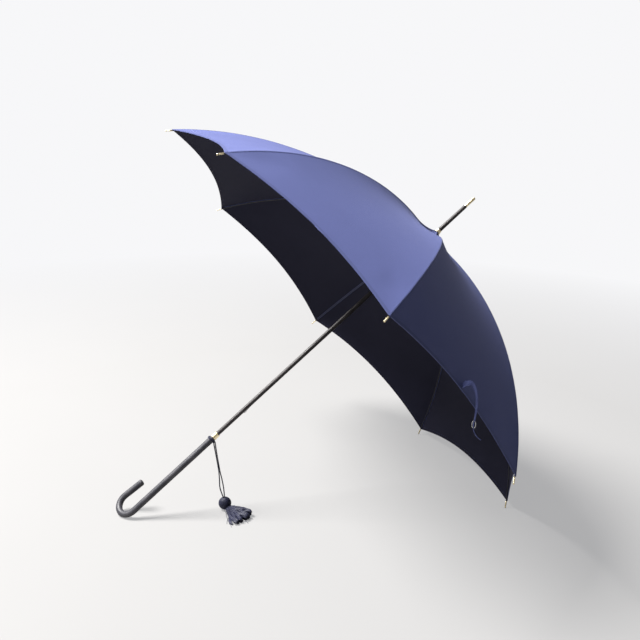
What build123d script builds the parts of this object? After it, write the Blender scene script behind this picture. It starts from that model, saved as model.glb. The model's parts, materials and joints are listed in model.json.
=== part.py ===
from build123d import *
from math import cos, exp, hypot, radians, sin, tan
import os

# An open stick umbrella with eight ribs and a hooked handle, resting on the floor Z = 0
# on two neighbouring rib tips and on the bend of its handle. The origin is the point of
# the floor that the handle rests on, +X runs along the floor under the shaft towards the
# ferrule, and +Z is up. Lengths are in millimetres, angles in degrees.
#
# Each part is drawn in the umbrella's own frame: its origin is on the shaft's axis, level
# with the rib hinges, its Z runs up the shaft to the ferrule, and its X points at the side
# that faces the floor. Heights along the shaft are measured in that frame.

# ---- frame of ribs ----
RIB_COUNT = 8
FIRST_RIB_ANGLE = 22.5
RIB_PITCH = 360 / RIB_COUNT
COVER_ARC = 550.0  # along a rib, from its hinge to the cover's corner
HINGE_SLOPE = 1.7  # slope of a rib below the level of the hinges, at the hinge
CORNER_SLOPE = 50.5  # the same at the cover's corner
HINGE_RADIUS = 8.0  # of both rings of pivots, from the shaft's axis
JOINT_ARC = 234.0  # along a rib, from its hinge to the stretcher's rivet
RIB_RADIUS = COVER_ARC / radians(CORNER_SLOPE - HINGE_SLOPE)

WIRE_RADIUS = 0.40
FIT = 0.05  # radial clearance of a running fit
SNUG = 0.01  # radial clearance of parts that are fixed to each other
SEAT_GAP = 0.1  # between end faces that seat on each other
SIDE_PLAY = 0.08  # between flat faces that turn on one rivet
OVERCUT = 1.0  # how far a cutting shape runs past the face it opens

RIB_HEIGHT = 2.0
RIB_HALF_WIDTH = 1.03
RIB_WALL = 0.45
TONGUE_HALF_WIDTH = 0.6
TONGUE_HALF_HEIGHT = 0.8
RIVET_RADIUS = 0.7
RIVET_HEAD_RADIUS = 1.15
RIVET_HEAD_HEIGHT = 0.4
RIB_EYE_RADIUS = 1.4
RIB_CHANNEL_START = 8.0  # along the rib, where the flat tongue becomes a channel
RIB_CHANNEL_SOLID = 4.0  # of the channel's start that isn't hollow
RIB_EAR_REACH = 1.5  # of the two ears past the rivet
RIB_WEB_BACK = 3.0  # from the rivet back to the end of the channel's web
ROD_RADIUS = 1.0
ROD_EYE_RADIUS = 1.3
ROD_EYE_HALF_WIDTH = 0.5
ROD_START = 3.5  # from the rivet to where the flat eye becomes a round rod

STRETCHER_HEIGHT = 1.8
STRETCHER_FORK = 9.0  # reach of the fork from its rivet
STRETCHER_EYE_RADIUS = 1.5
STRETCHER_FLAT = 28.0  # flattened end that lies in the runner's slot
STRETCHER_BRIDGE = 2.0  # solid stretch before the flattened end
OPEN_PIVOT_GAP = 0.8  # from the end of the stretcher to the line of its runner pivot

TIP_RADIUS = 1.6
TIP_LENGTH = 14.0
TIP_BORE_DEPTH = 11.0
TIP_ROUNDING = 1.2

# ---- cover ----
COVER_LIFT = 1.8  # from the middle of a rib to the inside of the cover
COVER_THICKNESS = 0.5
SEAM_GAP = 0.4  # from the plane of a rib to the edge of a panel
HEM_SCALLOP = 0.047  # share of the arc that the hem is drawn in at the panel's middle
NECK_RADIUS = 5.2
NECK_RISE = 16.3  # the cover is drawn up to the ferrule by this much
NECK_REACH = 18.0
NECK_POWER = 6  # how quickly the cover leaves the neck's radius for the ribs'
COVER_STATIONS = 13

# ---- shaft and its rings ----
SHAFT_RADIUS = 4.25
SHAFT_BORE = 3.55
SHAFT_TOP = 24.0
SHAFT_BOTTOM = -629.0
NOTCH_RADIUS = 9.6
NOTCH_TOP = 1.4
NOTCH_BOTTOM = -3.0
NOTCH_SLOT_ROOT = 5.6
SLOT_WIDTH = 1.6
GROOVE_HALF_HEIGHT = 0.55
RUNNER_BARREL_RADIUS = 5.5
RUNNER_FLANGE_HALF_HEIGHT = 2.5
RUNNER_LENGTH = 42.0
RUNNER_GRIP_RADIUS = 6.8
RUNNER_GRIP_HEIGHT = 4.0
RUNNER_WIRE_RING = 6.6
RUNNER_WINDOW_DROP = 8.0  # from the line of the runner's pivots to the catch's window
RUNNER_WINDOW_MARGIN = 6.0
RUNNER_WINDOW_PLAY = 1.0
STOP_PIN_RADIUS = 0.8
STOP_PIN_REACH = 6.2
STOP_PIN_GAP = 0.3  # from the open runner to the pin

CATCH_LENGTH = 21.0
CATCH_THICKNESS = 1.2
CATCH_PROUD = 2.6
CATCH_ROOT = 1.0
CATCH_SUNK = 0.2  # depth of the low end of the catch's ramp in its slot
CATCH_GAP = 0.5  # from the open runner to the top catch
BOTTOM_CATCH_TOP = -476.0
CATCH_SLOT_MARGIN = 1.0

# ---- ferrule ----
FERRULE_END = 122.5
FERRULE_BASE_RADIUS = 4.3
FERRULE_END_RADIUS = 3.75
SPIGOT_LENGTH = 24.0
BASE_RING_BOTTOM = 19.6
BASE_RING_HEIGHT = 7.0
BASE_RING_RADIUS = 6.4
BASE_RING_STEP = 1.0
BASE_RING_STEP_START = 2.2
BASE_RING_STEP_END = 3.2
CAP_LENGTH = 25.0
CAP_RADIUS = 3.5
CAP_SEAT = 16.0
CAP_WALL = 0.7
CAP_ROUNDING = 1.5
CAP_BORE_MARGIN = 0.5

# ---- handle ----
COLLAR_TOP = -560.0
COLLAR_LENGTH = 12.0
COLLAR_RADIUS = 5.9
COLLAR_CHAMFER = 1.0
CORE_BORE_MARGIN = 0.5
HANDLE_RADIUS = 6.35
LEATHER_THICKNESS = 1.0
BEND_HEIGHT = -774.6  # where the straight grip ends and the hook begins
HOOK_RADIUS = 22.6
HOOK_TURN = 186.0
HOOK_ANGLE = 109.0  # of the hook's plane about the shaft
HOOK_TAIL = 42.0
END_ROUNDING = 2.5

# ---- tassel and strap ----
CORD_RING_HEIGHT = -577.0
CORD_RING_LENGTH = 5.0
CORD_RING_RADIUS = 8.5
CORD_RING_ROUNDING = 0.9
CORD_RADIUS = 1.1
CORD_SPREAD = 1.7  # half the distance between the loop's two strands
CORD_RING_GAP = 1.5  # from the cord ring to the top of the loop
CORD_BALL_GAP = 0.2
BALL_RADIUS = 12.5
BALL_OFFSET_X = 15.4  # of the ball's centre from the point under the cord ring
BALL_OFFSET_Y = -16.7
BALL_FLOOR_GAP = 0.5
SKIRT_LENGTH = 62.0
SKIRT_DIRECTION = -72.0
SKIRT_NECK = 4.5
SKIRT_NECK_RISE = 1.5
SKIRT_BALL_GAP = 0.4
SKIRT_END_HALF_WIDTH = 30.0
SKIRT_END_HALF_HEIGHT = 3.5

STRAP_LENGTH = 78.0
STRAP_WIDTH = 9.0
STRAP_THICKNESS = 1.2
STRAP_STAND_OFF = 4.0
STRAP_PANEL_ANGLE = -90.0
STRAP_RING_RADIUS = 4.2
STRAP_RING_WIRE = 0.7
STRAP_RING_GAP = 0.2


def rib_point(arc, offset=0.0):
    """Radius and height of a point beside the rib's middle line, offset outwards."""
    slope = radians(HINGE_SLOPE) + arc / RIB_RADIUS
    radius = HINGE_RADIUS + RIB_RADIUS * (sin(slope) - sin(radians(HINGE_SLOPE)))
    height = -RIB_RADIUS * (cos(radians(HINGE_SLOPE)) - cos(slope))
    return (radius + offset * sin(slope), height + offset * cos(slope))


def rib_direction(arc):
    """Unit vector along the rib, away from the shaft, as radius and height."""
    slope = radians(HINGE_SLOPE) + arc / RIB_RADIUS
    return (cos(slope), -sin(slope))


def height_over(point, elevation):
    """Height of a point of the umbrella's frame for a shaft at this elevation."""
    return point.Z * sin(elevation) - point.X * cos(elevation)


def hook_bottom(elevation):
    """The hook's lowest point, in the umbrella's frame."""
    up = Vector(-cos(elevation), 0, sin(elevation))
    across = Vector(cos(radians(HOOK_ANGLE)), sin(radians(HOOK_ANGLE)), 0)
    centre = across * HOOK_RADIUS + Vector(0, 0, BEND_HEIGHT)
    in_plane = across * up.dot(across) + Vector(0, 0, up.Z)
    return centre - in_plane.normalized() * HOOK_RADIUS - up * HANDLE_RADIUS


def tip_bottom():
    """Centre of the rounded end of a rib tip that rests on the floor, in the umbrella's frame."""
    radius, height = rib_point(COVER_ARC)
    along = rib_direction(COVER_ARC)
    reach = TIP_LENGTH - TIP_RADIUS
    radius = radius + along[0] * reach
    height = height + along[1] * reach
    spread = radians(RIB_PITCH / 2)
    return Vector(radius * cos(spread), radius * sin(spread), height)


def resting_elevation():
    """Elevation of the shaft at which hook and rib tips touch the floor together, by halving."""
    low, high = radians(30), radians(50)
    for _ in range(40):
        middle = (low + high) / 2
        tip = height_over(tip_bottom(), middle) - TIP_RADIUS
        hook = height_over(hook_bottom(middle), middle)
        if tip > hook:
            high = middle
        else:
            low = middle
    return low


ELEVATION = resting_elevation()
TILTED = Plane(
    origin=(0, 0, 0),
    x_dir=(sin(ELEVATION), 0, -cos(ELEVATION)),
    z_dir=(cos(ELEVATION), 0, sin(ELEVATION)),
)
UMBRELLA = Plane(
    origin=-TILTED.from_local_coords(hook_bottom(ELEVATION)),
    x_dir=TILTED.x_dir,
    z_dir=TILTED.z_dir,
)
SHAFT_AXIS = Axis(UMBRELLA.origin, UMBRELLA.z_dir)


def at(x, y, z):
    """A point of the umbrella's frame, in the resting frame."""
    return UMBRELLA.from_local_coords(Vector(x, y, z))


def level(height):
    """The plane square to the shaft at this height."""
    return UMBRELLA.offset(height)


def radial_plane(angle):
    """The plane through the shaft's axis at this angle: x is radius and y is height."""
    outward = at(cos(radians(angle)), sin(radians(angle)), 0) - at(0, 0, 0)
    return Plane(origin=UMBRELLA.origin, x_dir=outward, z_dir=outward.cross(UMBRELLA.z_dir))


def save(part, name):
    part.label = name
    export_step(part, f"parts/{name}.step")


os.makedirs("parts", exist_ok=True)

JOINT_RADIUS, JOINT_HEIGHT = rib_point(JOINT_ARC)
RUNNER_OPEN = 2 * JOINT_HEIGHT  # equal arms put the runner twice as low as the rivets
RUNNER_BOTTOM = RUNNER_OPEN - RUNNER_LENGTH
ARM = hypot(JOINT_RADIUS - HINGE_RADIUS, JOINT_HEIGHT)
TOP_CATCH_TOP = RUNNER_BOTTOM - CATCH_GAP
STOP_PIN_HEIGHT = RUNNER_OPEN + RUNNER_FLANGE_HALF_HEIGHT + STOP_PIN_RADIUS + STOP_PIN_GAP
HANDLE_TOP = COLLAR_TOP - COLLAR_LENGTH


# ---- shaft ----


def catch_slot(top):
    """Cuts the slot that a catch spring stands in, on the side of the shaft that faces the floor."""
    with BuildSketch(level(top + CATCH_SLOT_MARGIN)) as slot:
        with Locations((SHAFT_RADIUS, 0)):
            Rectangle(SHAFT_RADIUS, CATCH_THICKNESS + 2 * SIDE_PLAY)
    slot_length = CATCH_LENGTH + 2 * CATCH_SLOT_MARGIN
    extrude(slot.sketch, amount=-slot_length, mode=Mode.SUBTRACT)


with BuildPart() as shaft:
    with BuildSketch(level(SHAFT_BOTTOM)):
        Circle(SHAFT_RADIUS)
        Circle(SHAFT_BORE, mode=Mode.SUBTRACT)
    extrude(amount=SHAFT_TOP - SHAFT_BOTTOM)
    catch_slot(TOP_CATCH_TOP)
    catch_slot(BOTTOM_CATCH_TOP)
    with BuildSketch(radial_plane(90)):
        with Locations((0, STOP_PIN_HEIGHT)):
            Circle(STOP_PIN_RADIUS + SNUG)
    extrude(amount=STOP_PIN_REACH, both=True, mode=Mode.SUBTRACT)
save(shaft.part, "shaft")

# The pin through the shaft that stops the runner when the umbrella is open.
with BuildPart() as runner_stop_pin:
    with BuildSketch(radial_plane(90)):
        with Locations((0, STOP_PIN_HEIGHT)):
            Circle(STOP_PIN_RADIUS)
    extrude(amount=STOP_PIN_REACH, both=True)
save(runner_stop_pin.part, "runner_stop_pin")


def make_catch(top, step_at_top):
    """A leaf spring cut as a wedge: a step at one end stands out of the shaft's slot."""
    bottom = top - CATCH_LENGTH
    step, ramp = (top, bottom) if step_at_top else (bottom, top)
    with BuildPart() as catch:
        with BuildSketch(radial_plane(0)):
            with BuildLine():
                Polyline(
                    (CATCH_ROOT, step),
                    (SHAFT_RADIUS + CATCH_PROUD, step),
                    (SHAFT_RADIUS - CATCH_SUNK, ramp),
                    (CATCH_ROOT, ramp),
                    close=True,
                )
            make_face()
        extrude(amount=CATCH_THICKNESS / 2, both=True)
    return catch.part


save(make_catch(TOP_CATCH_TOP, True), "top_catch_spring")
save(make_catch(BOTTOM_CATCH_TOP, False), "bottom_catch_spring")


# ---- notch rings and binding wires ----


def cut_slots(bottom, height, root):
    """Cuts one radial slot for each rib, open at the rim and at both faces."""
    with BuildSketch(level(bottom)) as slots:
        with PolarLocations(root, RIB_COUNT, start_angle=FIRST_RIB_ANGLE):
            Rectangle(NOTCH_RADIUS, SLOT_WIDTH, align=(Align.MIN, Align.CENTER))
    extrude(slots.sketch, amount=height, mode=Mode.SUBTRACT)


def cut_groove(height, root):
    """Cuts the groove that the binding wire lies in."""
    with BuildSketch(level(height - GROOVE_HALF_HEIGHT)) as groove:
        Circle(NOTCH_RADIUS + OVERCUT)
        Circle(root, mode=Mode.SUBTRACT)
    extrude(groove.sketch, amount=2 * GROOVE_HALF_HEIGHT, mode=Mode.SUBTRACT)


def make_wire(height, ring_radius):
    """A binding wire bent to a ring."""
    with BuildPart() as wire:
        with BuildSketch(radial_plane(0)):
            with Locations((ring_radius, height)):
                Circle(WIRE_RADIUS)
        revolve(axis=SHAFT_AXIS)
    return wire.part


with BuildPart() as top_notch:
    with BuildSketch(level(NOTCH_BOTTOM)):
        Circle(NOTCH_RADIUS)
        Circle(SHAFT_RADIUS + SNUG, mode=Mode.SUBTRACT)
    extrude(amount=NOTCH_TOP - NOTCH_BOTTOM)
    cut_slots(NOTCH_BOTTOM, NOTCH_TOP - NOTCH_BOTTOM, NOTCH_SLOT_ROOT)
    cut_groove(0, HINGE_RADIUS - GROOVE_HALF_HEIGHT)
save(top_notch.part, "top_notch")
save(make_wire(0, HINGE_RADIUS), "top_notch_wire")

with BuildPart() as runner:
    with BuildSketch(level(RUNNER_BOTTOM)):
        Circle(RUNNER_BARREL_RADIUS)
    extrude(amount=RUNNER_LENGTH)
    with BuildSketch(level(RUNNER_BOTTOM)):
        Circle(RUNNER_GRIP_RADIUS)
    extrude(amount=RUNNER_GRIP_HEIGHT)
    with BuildSketch(level(RUNNER_OPEN - RUNNER_FLANGE_HALF_HEIGHT)):
        Circle(NOTCH_RADIUS)
    extrude(amount=2 * RUNNER_FLANGE_HALF_HEIGHT)
    cut_slots(
        RUNNER_OPEN - RUNNER_FLANGE_HALF_HEIGHT,
        2 * RUNNER_FLANGE_HALF_HEIGHT,
        RUNNER_BARREL_RADIUS,
    )
    cut_groove(RUNNER_OPEN, RUNNER_WIRE_RING - GROOVE_HALF_HEIGHT)
    with BuildSketch(level(RUNNER_BOTTOM)):
        Circle(SHAFT_RADIUS + FIT)
    extrude(amount=RUNNER_LENGTH + RUNNER_FLANGE_HALF_HEIGHT, mode=Mode.SUBTRACT)
    # the window that the bottom catch springs into when the umbrella is closed
    with BuildSketch(level(RUNNER_OPEN - RUNNER_WINDOW_DROP)):
        with Locations((RUNNER_BARREL_RADIUS, 0)):
            Rectangle(RUNNER_BARREL_RADIUS, CATCH_THICKNESS + RUNNER_WINDOW_PLAY)
    extrude(amount=-(CATCH_LENGTH + RUNNER_WINDOW_MARGIN), mode=Mode.SUBTRACT)
save(runner.part, "runner")
save(make_wire(RUNNER_OPEN, RUNNER_WIRE_RING), "runner_wire")


# ---- ribs, rods, tips and stretchers ----


def draw_band(start, end, below, above):
    """Draws a strip along the rib's curve, between two offsets from its middle line."""
    middle = (start + end) / 2
    with BuildLine() as band:
        lower = ThreePointArc(
            rib_point(start, below), rib_point(middle, below), rib_point(end, below)
        )
        upper = ThreePointArc(
            rib_point(end, above), rib_point(middle, above), rib_point(start, above)
        )
        Line(lower @ 1, upper @ 0)
        Line(upper @ 1, lower @ 0)
    make_face(band.edges())


def make_rib(angle):
    """The rib's inner half: a steel channel, open below, from its hinge eye to the rivet."""
    plane = radial_plane(angle)
    half = RIB_HEIGHT / 2
    hollow = RIB_HALF_WIDTH - RIB_WALL
    hollow_start = RIB_CHANNEL_START + RIB_CHANNEL_SOLID
    ear_end = JOINT_ARC + RIB_EAR_REACH
    cut_end = ear_end + OVERCUT
    with BuildPart() as rib:
        with BuildSketch(plane):
            with Locations((HINGE_RADIUS, 0)):
                Circle(RIB_EYE_RADIUS)
            draw_band(0, hollow_start, -TONGUE_HALF_HEIGHT, TONGUE_HALF_HEIGHT)
        extrude(amount=TONGUE_HALF_WIDTH, both=True)
        with BuildSketch(plane):
            with Locations((HINGE_RADIUS, 0)):
                Circle(WIRE_RADIUS + FIT)
        extrude(amount=TONGUE_HALF_WIDTH, both=True, mode=Mode.SUBTRACT)
        with BuildSketch(plane):
            draw_band(RIB_CHANNEL_START, ear_end, -half, half)
        extrude(amount=RIB_HALF_WIDTH, both=True)
        with BuildSketch(plane):
            draw_band(hollow_start, cut_end, -half - OVERCUT, half - RIB_WALL)
        extrude(amount=hollow, both=True, mode=Mode.SUBTRACT)
        with BuildSketch(plane):
            draw_band(JOINT_ARC - RIB_WEB_BACK, cut_end, -half - OVERCUT, half + OVERCUT)
        extrude(amount=hollow, both=True, mode=Mode.SUBTRACT)
        rivet_half = RIB_HALF_WIDTH + 2 * SIDE_PLAY + RIB_WALL
        with BuildSketch(plane):
            with Locations((JOINT_RADIUS, JOINT_HEIGHT)):
                Circle(RIVET_RADIUS)
        extrude(amount=rivet_half, both=True)
        for side in (1, -1):
            with BuildSketch(plane.offset(side * rivet_half)):
                with Locations((JOINT_RADIUS, JOINT_HEIGHT)):
                    Circle(RIVET_HEAD_RADIUS)
            extrude(amount=side * RIVET_HEAD_HEIGHT)
    return rib.part


def make_rod(angle):
    """The rib's outer half: a round rod with a flat eye on the rivet."""
    plane = radial_plane(angle)
    rod_start = JOINT_ARC + ROD_START
    rod_end = COVER_ARC + TIP_BORE_DEPTH - ROD_RADIUS
    with BuildPart() as rod:
        with BuildSketch(plane):
            with Locations((JOINT_RADIUS, JOINT_HEIGHT)):
                Circle(ROD_EYE_RADIUS)
            draw_band(JOINT_ARC, rod_start + ROD_RADIUS, -TONGUE_HALF_HEIGHT, TONGUE_HALF_HEIGHT)
        extrude(amount=ROD_EYE_HALF_WIDTH, both=True)
        with BuildSketch(plane):
            with Locations((JOINT_RADIUS, JOINT_HEIGHT)):
                Circle(RIVET_RADIUS + FIT)
        extrude(amount=ROD_EYE_HALF_WIDTH, both=True, mode=Mode.SUBTRACT)
        with BuildLine(plane) as path:
            ThreePointArc(
                rib_point(rod_start), rib_point((rod_start + rod_end) / 2), rib_point(rod_end)
            )
        with BuildSketch(Plane(origin=path.line @ 0, z_dir=path.line % 0)):
            Circle(ROD_RADIUS)
        sweep(path=path.line)
    return rod.part


def make_tip(angle):
    """The brass sleeve with a rounded end that closes a rib and holds the cover's corner."""
    plane = radial_plane(angle)
    seat = plane.from_local_coords(Vector(*rib_point(COVER_ARC)))
    ahead = plane.from_local_coords(Vector(*rib_point(COVER_ARC + TIP_BORE_DEPTH)))
    with BuildPart() as tip:
        with BuildSketch(Plane(origin=seat, z_dir=ahead - seat)):
            Circle(TIP_RADIUS)
        extrude(amount=TIP_LENGTH)
        fillet(tip.faces().sort_by(Axis(seat, ahead - seat))[-1].edges(), TIP_ROUNDING)
        with BuildSketch(Plane(origin=seat, z_dir=ahead - seat)):
            Circle(ROD_RADIUS + FIT)
        extrude(amount=TIP_BORE_DEPTH, mode=Mode.SUBTRACT)
    return tip.part


def make_stretcher(angle):
    """A channel forked over the rib at its rivet, with a flat end in the runner's slot."""
    plane = radial_plane(angle)
    rivet = plane.from_local_coords(Vector(JOINT_RADIUS, JOINT_HEIGHT))
    pivot = plane.from_local_coords(Vector(HINGE_RADIUS, RUNNER_OPEN))
    side_view = Plane(origin=rivet, x_dir=pivot - rivet, z_dir=plane.z_dir)
    half = STRETCHER_HEIGHT / 2
    inside = RIB_HALF_WIDTH + SIDE_PLAY
    outside = inside + RIB_WALL
    body_end = ARM - STRETCHER_FLAT
    hollow_length = body_end - STRETCHER_FORK - STRETCHER_BRIDGE
    with BuildPart() as stretcher:
        with BuildSketch(side_view):
            Circle(STRETCHER_EYE_RADIUS)
            Rectangle(body_end, STRETCHER_HEIGHT, align=(Align.MIN, Align.CENTER))
        extrude(amount=outside, both=True)
        with BuildSketch(side_view):
            with Locations((-STRETCHER_EYE_RADIUS - OVERCUT, 0)):
                Rectangle(
                    STRETCHER_EYE_RADIUS + OVERCUT + STRETCHER_FORK,
                    2 * (STRETCHER_EYE_RADIUS + OVERCUT),
                    align=(Align.MIN, Align.CENTER),
                )
            with Locations((STRETCHER_FORK - OVERCUT, -half - OVERCUT)):
                Rectangle(
                    hollow_length,
                    STRETCHER_HEIGHT - RIB_WALL + OVERCUT,
                    align=(Align.MIN, Align.MIN),
                )
        extrude(amount=inside, both=True, mode=Mode.SUBTRACT)
        with BuildSketch(side_view):
            Circle(RIVET_RADIUS + FIT)
        extrude(amount=outside, both=True, mode=Mode.SUBTRACT)
        with BuildSketch(side_view):
            with Locations((body_end - OVERCUT, 0)):
                Rectangle(
                    STRETCHER_FLAT + OVERCUT - OPEN_PIVOT_GAP,
                    2 * TONGUE_HALF_HEIGHT,
                    align=(Align.MIN, Align.CENTER),
                )
        extrude(amount=TONGUE_HALF_WIDTH, both=True)
    return stretcher.part


for number in range(RIB_COUNT):
    rib_angle = FIRST_RIB_ANGLE + RIB_PITCH * number
    save(make_rib(rib_angle), f"rib_{number + 1}")
    save(make_rod(rib_angle), f"rib_rod_{number + 1}")
    save(make_tip(rib_angle), f"rib_tip_{number + 1}")
    save(make_stretcher(rib_angle), f"stretcher_{number + 1}")


# ---- cover panels ----

HALF_PANEL = radians(RIB_PITCH / 2)


def cover_point(share, lift):
    """A point of a panel's middle line: share of the arc from the neck, lift over the ribs."""
    radius, height = rib_point(share * COVER_ARC, lift)
    neck_share = (NECK_RADIUS - HINGE_RADIUS) * (1 - share) ** NECK_POWER
    rise = NECK_RISE * exp(-(radius - HINGE_RADIUS) / NECK_REACH)
    return ((radius + neck_share) * cos(HALF_PANEL), height + rise)


def make_panel(angle):
    """One panel: bent along the ribs, straight across, with a scalloped hem."""
    shares = [(n / (COVER_STATIONS - 1)) ** 2 for n in range(COVER_STATIONS)]
    corner_radius, _ = rib_point(COVER_ARC, COVER_LIFT)
    hem_radius, _ = rib_point(COVER_ARC * (1 - HEM_SCALLOP), COVER_LIFT)
    half_chord = corner_radius * sin(HALF_PANEL) - SEAM_GAP
    corner = corner_radius * cos(HALF_PANEL)
    inset = SEAM_GAP / cos(HALF_PANEL)
    outer = COVER_LIFT + COVER_THICKNESS
    with BuildPart() as panel:
        with BuildSketch(radial_plane(angle)):
            with BuildLine():
                inside = Spline(*[cover_point(s, COVER_LIFT) for s in shares])
                outside = Spline(*[cover_point(s, outer) for s in shares])
                Line(inside @ 0, outside @ 0)
                Line(inside @ 1, outside @ 1)
            make_face()
        extrude(amount=half_chord + SEAM_GAP, both=True)
        outline = Plane(
            origin=at(0, 0, -corner_radius),
            x_dir=radial_plane(angle).x_dir,
            z_dir=UMBRELLA.z_dir,
        )
        neck = NECK_RADIUS * cos(HALF_PANEL)
        neck_half = neck * tan(HALF_PANEL) - inset
        with BuildSketch(outline):
            with BuildLine():
                hem = ThreePointArc(
                    (corner, -half_chord),
                    (hem_radius * cos(HALF_PANEL), 0),
                    (corner, half_chord),
                )
                Polyline(hem @ 1, (neck, neck_half), (neck, -neck_half), hem @ 0)
            make_face()
        extrude(amount=2 * corner_radius, mode=Mode.INTERSECT)
    return panel.part


for number in range(RIB_COUNT):
    panel_angle = FIRST_RIB_ANGLE + RIB_PITCH * (number + 0.5)
    save(make_panel(panel_angle), f"cover_panel_{number + 1}")


# ---- ferrule ----

with BuildPart() as ferrule_base_ring:
    with BuildSketch(radial_plane(0)):
        with BuildLine():
            foot = BASE_RING_BOTTOM
            top = BASE_RING_BOTTOM + BASE_RING_HEIGHT
            Polyline(
                (SHAFT_RADIUS + FIT, top),
                (SHAFT_RADIUS + FIT, foot),
                (BASE_RING_RADIUS, foot),
                (BASE_RING_RADIUS, foot + BASE_RING_STEP_START),
                (BASE_RING_RADIUS - BASE_RING_STEP, foot + BASE_RING_STEP_END),
                (BASE_RING_RADIUS - BASE_RING_STEP, top),
                close=True,
            )
        make_face()
    revolve(axis=SHAFT_AXIS)
save(ferrule_base_ring.part, "ferrule_base_ring")

FERRULE_SEAT = FERRULE_END - CAP_LENGTH
with BuildPart() as ferrule_rod:
    with BuildSketch(radial_plane(0)):
        with BuildLine():
            Polyline(
                (0, SHAFT_TOP - SPIGOT_LENGTH),
                (SHAFT_BORE - FIT, SHAFT_TOP - SPIGOT_LENGTH),
                (SHAFT_BORE - FIT, SHAFT_TOP + SEAT_GAP),
                (FERRULE_BASE_RADIUS - FIT, SHAFT_TOP + SEAT_GAP),
                (FERRULE_END_RADIUS, FERRULE_SEAT - SEAT_GAP),
                (CAP_RADIUS - CAP_WALL - FIT, FERRULE_SEAT - SEAT_GAP),
                (CAP_RADIUS - CAP_WALL - FIT, FERRULE_SEAT + CAP_SEAT),
                (0, FERRULE_SEAT + CAP_SEAT),
                close=True,
            )
        make_face()
    revolve(axis=SHAFT_AXIS)
save(ferrule_rod.part, "ferrule_rod")

with BuildPart() as ferrule_cap:
    with BuildSketch(level(FERRULE_SEAT)):
        Circle(CAP_RADIUS)
    extrude(amount=CAP_LENGTH)
    fillet(ferrule_cap.faces().sort_by(SHAFT_AXIS)[-1].edges(), CAP_ROUNDING)
    with BuildSketch(level(FERRULE_SEAT)):
        Circle(CAP_RADIUS - CAP_WALL)
    extrude(amount=CAP_SEAT + CAP_BORE_MARGIN, mode=Mode.SUBTRACT)
save(ferrule_cap.part, "ferrule_cap")


# ---- handle ----


def draw_handle_path(tail):
    """The handle's middle line in the hook's plane, down the grip and round the hook."""
    grip = Line((0, HANDLE_TOP), (0, BEND_HEIGHT))
    hook = JernArc(start=grip @ 1, tangent=grip % 1, radius=HOOK_RADIUS, arc_size=HOOK_TURN)
    Line(hook @ 1, (hook @ 1) + (hook % 1) * tail)


with BuildPart() as handle_core:
    with BuildLine(radial_plane(HOOK_ANGLE)) as core_path:
        draw_handle_path(HOOK_TAIL - LEATHER_THICKNESS)
    with BuildSketch(level(HANDLE_TOP)):
        Circle(HANDLE_RADIUS - LEATHER_THICKNESS - FIT)
    sweep(path=core_path.line)
    with BuildSketch(level(HANDLE_TOP)):
        Circle(SHAFT_RADIUS + SNUG)
    extrude(amount=SHAFT_BOTTOM - HANDLE_TOP - CORE_BORE_MARGIN, mode=Mode.SUBTRACT)
save(handle_core.part, "handle_core")

with BuildPart() as handle_leather:
    with BuildLine(radial_plane(HOOK_ANGLE)) as leather_path:
        draw_handle_path(HOOK_TAIL)
    with BuildSketch(level(HANDLE_TOP)):
        Circle(HANDLE_RADIUS)
    sweep(path=leather_path.line)
    end_point = leather_path.line @ 1
    fillet(
        handle_leather.edges().sort_by_distance(end_point).filter_by(GeomType.CIRCLE)[0],
        END_ROUNDING,
    )
    with BuildLine(radial_plane(HOOK_ANGLE)) as hollow_path:
        draw_handle_path(HOOK_TAIL - LEATHER_THICKNESS)
    with BuildSketch(level(HANDLE_TOP)):
        Circle(HANDLE_RADIUS - LEATHER_THICKNESS)
    sweep(path=hollow_path.line, mode=Mode.SUBTRACT)
save(handle_leather.part, "handle_leather")

with BuildPart() as handle_collar:
    with BuildSketch(level(HANDLE_TOP + SEAT_GAP)):
        Circle(COLLAR_RADIUS)
        Circle(SHAFT_RADIUS + SNUG, mode=Mode.SUBTRACT)
    extrude(amount=COLLAR_LENGTH - SEAT_GAP)
    top_edges = handle_collar.faces().sort_by(SHAFT_AXIS)[-1].edges()
    chamfer(top_edges.sort_by(SortBy.LENGTH)[-1], COLLAR_CHAMFER)
save(handle_collar.part, "handle_collar")


# ---- tassel ----

with BuildPart() as cord_ring:
    with BuildSketch(radial_plane(0)):
        with Locations(((HANDLE_RADIUS + FIT + CORD_RING_RADIUS) / 2, CORD_RING_HEIGHT)):
            Rectangle(CORD_RING_RADIUS - HANDLE_RADIUS - FIT, CORD_RING_LENGTH)
    revolve(axis=SHAFT_AXIS)
    outer_edges = cord_ring.edges().filter_by(GeomType.CIRCLE).sort_by(SortBy.RADIUS)[-2:]
    fillet(outer_edges, CORD_RING_ROUNDING)
save(cord_ring.part, "cord_ring")

RING_CENTRE = at(0, 0, CORD_RING_HEIGHT)
RING_BOTTOM = at(CORD_RING_RADIUS, 0, CORD_RING_HEIGHT)
BALL_CENTRE = Vector(
    RING_CENTRE.X + BALL_OFFSET_X, RING_CENTRE.Y + BALL_OFFSET_Y, BALL_RADIUS + BALL_FLOOR_GAP
)
CORD_DIRECTION = (BALL_CENTRE - RING_BOTTOM).normalized()
CORD_TOP = RING_BOTTOM + CORD_DIRECTION * (CORD_SPREAD + CORD_RADIUS + CORD_RING_GAP)
CORD_LENGTH = (BALL_CENTRE - CORD_TOP).length - BALL_RADIUS - CORD_BALL_GAP

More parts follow.
